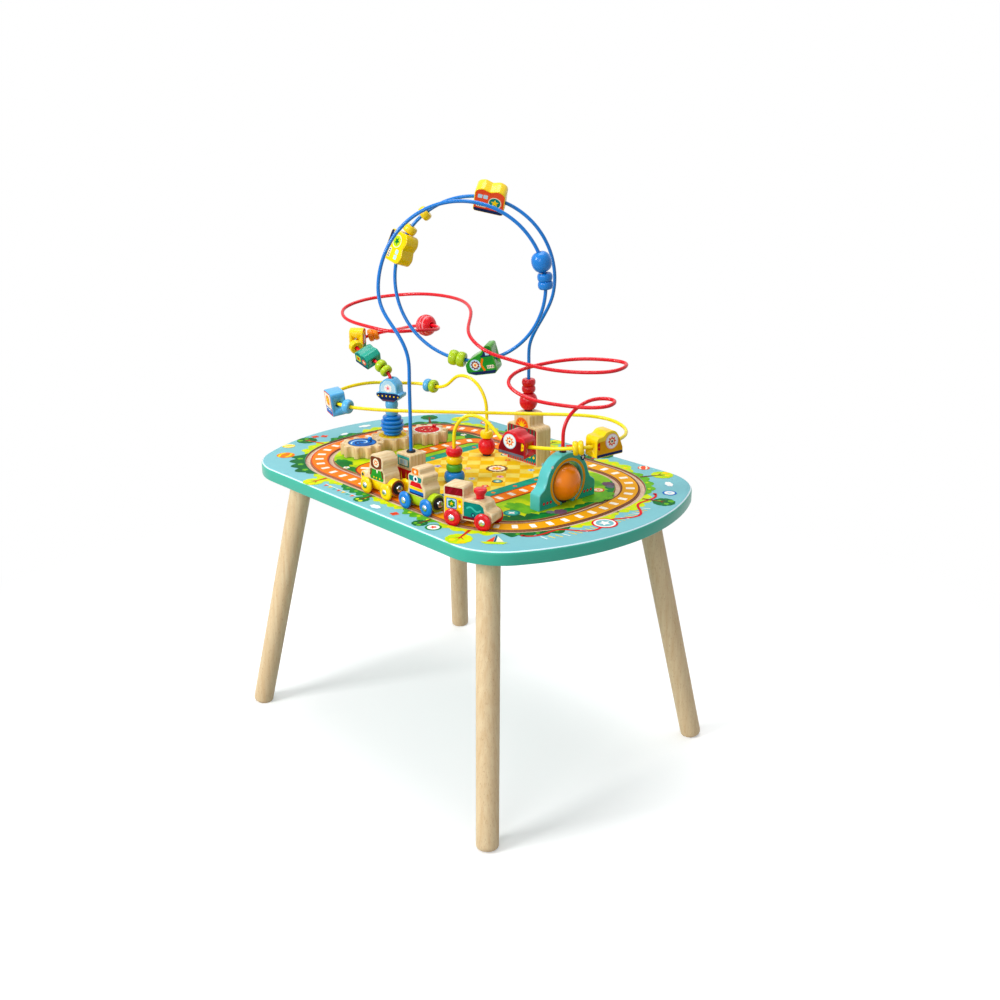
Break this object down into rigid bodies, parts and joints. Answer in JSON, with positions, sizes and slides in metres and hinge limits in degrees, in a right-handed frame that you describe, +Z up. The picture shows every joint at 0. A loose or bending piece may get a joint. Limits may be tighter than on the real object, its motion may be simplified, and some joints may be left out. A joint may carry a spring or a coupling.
{
  "type": "railway maze table",
  "caption": "Round-cornered play table on splayed dowel legs, with a grooved toy railway and train, meshing wooden gears, blocks, and bent wires that carry threaded beads.",
  "frame": {"origin": "centre of the table on the floor", "axes": "+Z up, +X along the table's length toward the end with the arch, -Y toward the side that the train stands on"},
  "size_m": [0.6176, 0.4314, 0.7818],
  "materials": {
    "beech": "clear satin varnish",
    "table_paint": "satin paint and lacquered print",
    "blue_wire": "glossy powder coat",
    "red_wire": "glossy powder coat",
    "yellow_wire": "glossy powder coat",
    "red_paint": "glossy paint",
    "blue_paint": "glossy paint",
    "pale_blue_paint": "glossy paint",
    "lime_paint": "glossy paint",
    "green_paint": "glossy paint",
    "teal_paint": "glossy paint",
    "yellow_paint": "glossy paint",
    "orange_paint": "glossy paint"
  },
  "bodies": {
    "table": {"tabletop": "table_paint", "leg_front_left": "beech", "leg_front_right": "beech", "leg_back_left": "beech", "leg_back_right": "beech", "wire_blue": "blue_wire", "wire_red": "red_wire", "wire_yellow": "yellow_wire", "booth_block": "beech", "castle_block": "beech", "arch_block": "teal_paint"},
    "gear_middle": {"gear_middle": "beech"},
    "gear_blue": {"gear_blue": "beech"},
    "gear_red": {"gear_red": "beech"},
    "arch_ball": {"arch_ball": "orange_paint"},
    "bead_ribbed_blue": {"bead_ribbed_blue": "blue_paint"},
    "bead_pale_double": {"bead_pale_double": "pale_blue_paint"},
    "saucer_block": {"saucer_block": "pale_blue_paint"},
    "stack_blue": {"stack_blue": "blue_paint"},
    "stack_green": {"stack_green": "green_paint"},
    "stack_yellow": {"stack_yellow": "yellow_paint"},
    "stack_red": {"stack_red": "red_paint"},
    "ball_red_castle": {"ball_red_castle": "red_paint"},
    "bead_red_double": {"bead_red_double": "red_paint"},
    "ball_red_end": {"ball_red_end": "red_paint"},
    "bead_yellow_end": {"bead_yellow_end": "yellow_paint"},
    "ball_blue": {"ball_blue": "blue_paint"},
    "bead_blue_double": {"bead_blue_double": "blue_paint"},
    "block_green": {"block_green": "green_paint"},
    "bead_lime_double": {"bead_lime_double": "lime_paint"},
    "block_yellow_coil": {"block_yellow_coil": "yellow_paint"},
    "bead_yellow_coil_lower": {"bead_yellow_coil_lower": "yellow_paint"},
    "bead_yellow_coil_upper": {"bead_yellow_coil_upper": "yellow_paint"},
    "block_coil_top": {"block_coil_top": "yellow_paint"},
    "bead_lime_lower": {"bead_lime_lower": "lime_paint"},
    "bead_lime_upper": {"bead_lime_upper": "lime_paint"},
    "block_teal": {"block_teal": "teal_paint"},
    "bead_yellow_ringed": {"bead_yellow_ringed": "yellow_paint"},
    "block_yellow_short": {"block_yellow_short": "yellow_paint"},
    "bead_orange_double": {"bead_orange_double": "orange_paint"},
    "ball_red_striped": {"ball_red_striped": "red_paint"},
    "block_red_car": {"block_red_car": "red_paint"},
    "bead_yellow_bow": {"bead_yellow_bow": "yellow_paint"},
    "block_yellow_car": {"block_yellow_car": "yellow_paint"},
    "bead_blue_single": {"bead_blue_single": "pale_blue_paint"},
    "block_pale_blue": {"block_pale_blue": "pale_blue_paint"},
    "bead_lime_single": {"bead_lime_single": "lime_paint"},
    "bead_pale_single": {"bead_pale_single": "pale_blue_paint"},
    "middle_car": {"middle_car_base": "lime_paint", "middle_car_figure": "beech"},
    "rear_car": {"rear_car_base": "yellow_paint", "rear_car_figure": "beech"},
    "engine": {"engine_body": "beech", "engine_chimney": "red_paint"},
    "wheels_middle_car_rear": {"wheels_middle_car_rear": "blue_paint"},
    "wheels_middle_car_front": {"wheels_middle_car_front": "blue_paint"},
    "wheels_rear_car_rear": {"wheels_rear_car_rear": "yellow_paint"},
    "wheels_rear_car_front": {"wheels_rear_car_front": "yellow_paint"},
    "wheels_engine_rear": {"wheels_engine_rear": "red_paint"},
    "wheels_engine_front": {"wheels_engine_front": "red_paint"}
  },
  "joints": [
    {"name": "gear_middle_turn", "type": "hinge", "parent": "table", "child": "gear_middle", "pos_m": [-0.1694, -0.0027, 0.389], "axis": [0, 0, 1], "continuous": true},
    {"name": "gear_blue_turn", "type": "hinge", "parent": "table", "child": "gear_blue", "pos_m": [-0.16739, -0.06017, 0.389], "axis": [0, 0, 1], "continuous": true},
    {"name": "gear_red_turn", "type": "hinge", "parent": "table", "child": "gear_red", "pos_m": [-0.15646, 0.05333, 0.389], "axis": [0, 0, 1], "continuous": true},
    {"name": "arch_ball_spin", "type": "hinge", "parent": "table", "child": "arch_ball", "pos_m": [0.1782, 0.002, 0.41645], "axis": [0, 0, 1], "continuous": true},
    {"name": "bead_ribbed_blue_spin", "type": "hinge", "parent": "table", "child": "bead_ribbed_blue", "pos_m": [-0.1694, -0.0027, 0.389], "axis": [0, 0, 1], "continuous": true},
    {"name": "bead_pale_double_spin", "type": "hinge", "parent": "table", "child": "bead_pale_double", "pos_m": [-0.1694, -0.0027, 0.44715], "axis": [0, 0, 1], "continuous": true},
    {"name": "saucer_block_spin", "type": "hinge", "parent": "table", "child": "saucer_block", "pos_m": [-0.1694, -0.0027, 0.4583], "axis": [0, 0, 1], "continuous": true},
    {"name": "stack_blue_lift", "type": "slide", "parent": "table", "child": "stack_blue", "axis": [0, 0, 1], "range_m": [0, 0.003]},
    {"name": "stack_green_lift", "type": "slide", "parent": "stack_blue", "child": "stack_green", "axis": [0, 0, 1], "range_m": [0, 0.003]},
    {"name": "stack_yellow_lift", "type": "slide", "parent": "stack_green", "child": "stack_yellow", "axis": [0, 0, 1], "range_m": [0, 0.003]},
    {"name": "stack_red_lift", "type": "slide", "parent": "stack_yellow", "child": "stack_red", "axis": [0, 0, 1], "range_m": [0, 0.004]},
    {"name": "ball_red_castle_lift", "type": "slide", "parent": "table", "child": "ball_red_castle", "axis": [0, 0, 1], "range_m": [0, 0.008]},
    {"name": "bead_red_double_lift", "type": "slide", "parent": "ball_red_castle", "child": "bead_red_double", "axis": [0, 0, 1], "range_m": [0, 0.012]},
    {"name": "ball_red_end_lift", "type": "slide", "parent": "table", "child": "ball_red_end", "axis": [0, 0, 1], "range_m": [0, 0.008]},
    {"name": "bead_yellow_end_lift", "type": "slide", "parent": "ball_red_end", "child": "bead_yellow_end", "axis": [0, 0, 1], "range_m": [0, 0.01]},
    {"name": "ball_blue_run", "type": "hinge", "parent": "table", "child": "ball_blue", "pos_m": [0.01843, -0.0243, 0.65316], "axis": [-0.6059, 0.788, 0.1096], "range_deg": [-36, 0]},
    {"name": "bead_blue_double_run", "type": "hinge", "parent": "table", "child": "bead_blue_double", "pos_m": [0.01772, -0.02138, 0.6539], "axis": [-0.5841, 0.8036, 0.1146], "range_deg": [0, 26]},
    {"name": "block_green_run", "type": "hinge", "parent": "table", "child": "block_green", "pos_m": [0.00837, -0.00702, 0.65597], "axis": [-0.4865, 0.8734, 0.0204], "range_deg": [-35, 0]},
    {"name": "bead_lime_double_run", "type": "hinge", "parent": "table", "child": "bead_lime_double", "pos_m": [0.00628, -0.00367, 0.65598], "axis": [-0.4861, 0.8737, -0.0173], "range_deg": [0, 34]},
    {"name": "block_yellow_coil_run", "type": "hinge", "parent": "table", "child": "block_yellow_coil", "pos_m": [-0.00499, 0.01413, 0.65309], "axis": [-0.6121, 0.7835, -0.1069], "range_deg": [-40, 0]},
    {"name": "bead_yellow_coil_lower_run", "type": "hinge", "parent": "table", "child": "bead_yellow_coil_lower", "pos_m": [-0.00796, 0.01579, 0.65386], "axis": [-0.6334, 0.7683, -0.0927], "range_deg": [0, 7.5]},
    {"name": "bead_yellow_coil_upper_run", "type": "hinge", "parent": "table", "child": "bead_yellow_coil_upper", "pos_m": [-0.00981, 0.01843, 0.65409], "axis": [-0.6516, 0.7552, -0.0711], "range_deg": [0, 17]},
    {"name": "block_coil_top_run", "type": "hinge", "parent": "table", "child": "block_coil_top", "pos_m": [-0.01567, 0.02675, 0.65382], "axis": [-0.6697, 0.7423, 0.0226], "range_deg": [-15, 44]},
    {"name": "bead_lime_lower_spin", "type": "hinge", "parent": "table", "child": "bead_lime_lower", "pos_m": [-0.17822, -0.0041, 0.50172], "axis": [-0.8234, -0.1051, 0.5576], "continuous": true},
    {"name": "bead_lime_upper_slide", "type": "slide", "parent": "table", "child": "bead_lime_upper", "axis": [-0.9071, -0.1338, 0.399], "range_m": [0, 0.0065]},
    {"name": "block_teal_slide", "type": "slide", "parent": "table", "child": "block_teal", "axis": [-0.937, -0.1019, 0.3343], "range_m": [0, 0.0065]},
    {"name": "bead_yellow_ringed_run", "type": "hinge", "parent": "table", "child": "bead_yellow_ringed", "pos_m": [-0.23491, 0.02156, 0.52485], "axis": [-0.3026, 0.002, -0.9531], "range_deg": [0, 8]},
    {"name": "block_yellow_short_run", "type": "hinge", "parent": "table", "child": "block_yellow_short", "pos_m": [-0.27472, -0.001, 0.51555], "axis": [-0.5697, -0.5061, 0.6475], "range_deg": [0, 8]},
    {"name": "bead_orange_double_run", "type": "hinge", "parent": "table", "child": "bead_orange_double", "pos_m": [-0.25492, 0.03046, 0.5372], "axis": [0.2341, 0.1478, -0.9609], "range_deg": [-20, 36]},
    {"name": "ball_red_striped_run", "type": "hinge", "parent": "table", "child": "ball_red_striped", "pos_m": [-0.12434, -0.07907, 0.4957], "axis": [0.1484, 0.552, -0.8205], "range_deg": [-6, 6]},
    {"name": "block_red_car_run", "type": "hinge", "parent": "table", "child": "block_red_car", "pos_m": [0.12426, -0.01056, 0.54471], "axis": [0.1981, -0.9763, 0.087], "range_deg": [-8.5, 12.5]},
    {"name": "bead_yellow_bow_run", "type": "hinge", "parent": "table", "child": "bead_yellow_bow", "pos_m": [0.17543, 0.03671, 0.45954], "axis": [-0.1846, 0.0418, 0.9819], "range_deg": [-12, 3.5]},
    {"name": "block_yellow_car_run", "type": "hinge", "parent": "table", "child": "block_yellow_car", "pos_m": [0.15626, 0.04833, 0.46443], "axis": [-0.0697, -0.0332, 0.997], "range_deg": [0, 17]},
    {"name": "bead_blue_single_run", "type": "hinge", "parent": "table", "child": "bead_blue_single", "pos_m": [-0.13922, -0.07158, 0.47546], "axis": [-0.0343, -0.0689, -0.997], "range_deg": [-24, 5]},
    {"name": "block_pale_blue_run", "type": "hinge", "parent": "table", "child": "block_pale_blue", "pos_m": [-0.13894, -0.061, 0.47816], "axis": [-0.0397, -0.0062, -0.9992], "range_deg": [0, 26]},
    {"name": "bead_lime_single_run", "type": "hinge", "parent": "table", "child": "bead_lime_single", "pos_m": [-0.12937, 0.02046, 0.54762], "axis": [0.2407, -0.8945, -0.3768], "range_deg": [0, 12]},
    {"name": "bead_pale_single_slide", "type": "slide", "parent": "table", "child": "bead_pale_single", "axis": [0.9557, 0.2868, -0.067], "range_m": [-0.009, 0]},
    {"name": "middle_car_roll", "type": "slide", "parent": "table", "child": "middle_car", "axis": [1, 0, 0], "range_m": [-0.098, 0]},
    {"name": "rear_car_roll", "type": "slide", "parent": "table", "child": "rear_car", "axis": [1, 0, 0], "range_m": [-0.098, 0]},
    {"name": "engine_roll", "type": "hinge", "parent": "table", "child": "engine", "pos_m": [0.125, -0.039, 0.389], "axis": [0, 0, 1], "range_deg": [-7, 46]},
    {"name": "wheels_middle_car_rear_turn", "type": "hinge", "parent": "middle_car", "child": "wheels_middle_car_rear", "pos_m": [0.0559, -0.143, 0.3983], "axis": [0, 1, 0], "continuous": true},
    {"name": "wheels_middle_car_front_turn", "type": "hinge", "parent": "middle_car", "child": "wheels_middle_car_front", "pos_m": [0.0979, -0.143, 0.3983], "axis": [0, 1, 0], "continuous": true},
    {"name": "wheels_rear_car_rear_turn", "type": "hinge", "parent": "rear_car", "child": "wheels_rear_car_rear", "pos_m": [-0.0258, -0.143, 0.3983], "axis": [0, 1, 0], "continuous": true},
    {"name": "wheels_rear_car_front_turn", "type": "hinge", "parent": "rear_car", "child": "wheels_rear_car_front", "pos_m": [0.0162, -0.143, 0.3983], "axis": [0, 1, 0], "continuous": true},
    {"name": "wheels_engine_rear_turn", "type": "hinge", "parent": "engine", "child": "wheels_engine_rear", "pos_m": [0.1401, -0.1419, 0.3983], "axis": [-0.342, 0.9397, 0], "continuous": true},
    {"name": "wheels_engine_front_turn", "type": "hinge", "parent": "engine", "child": "wheels_engine_front", "pos_m": [0.17957, -0.12753, 0.3983], "axis": [-0.342, 0.9397, 0], "continuous": true}
  ],
  "couplings": [
    {"joint": "gear_blue_turn", "follows": "gear_middle_turn", "ratio": -1},
    {"joint": "gear_red_turn", "follows": "gear_middle_turn", "ratio": -1},
    {"joint": "rear_car_roll", "follows": "middle_car_roll", "ratio": 1},
    {"joint": "wheels_middle_car_rear_turn", "follows": "middle_car_roll", "rad_per_m": 89.286},
    {"joint": "wheels_middle_car_front_turn", "follows": "middle_car_roll", "rad_per_m": 89.286},
    {"joint": "wheels_rear_car_rear_turn", "follows": "middle_car_roll", "rad_per_m": 89.286},
    {"joint": "wheels_rear_car_front_turn", "follows": "middle_car_roll", "rad_per_m": 89.286},
    {"joint": "wheels_engine_rear_turn", "follows": "engine_roll", "ratio": 9.0944},
    {"joint": "wheels_engine_front_turn", "follows": "engine_roll", "ratio": 9.0944}
  ]
}
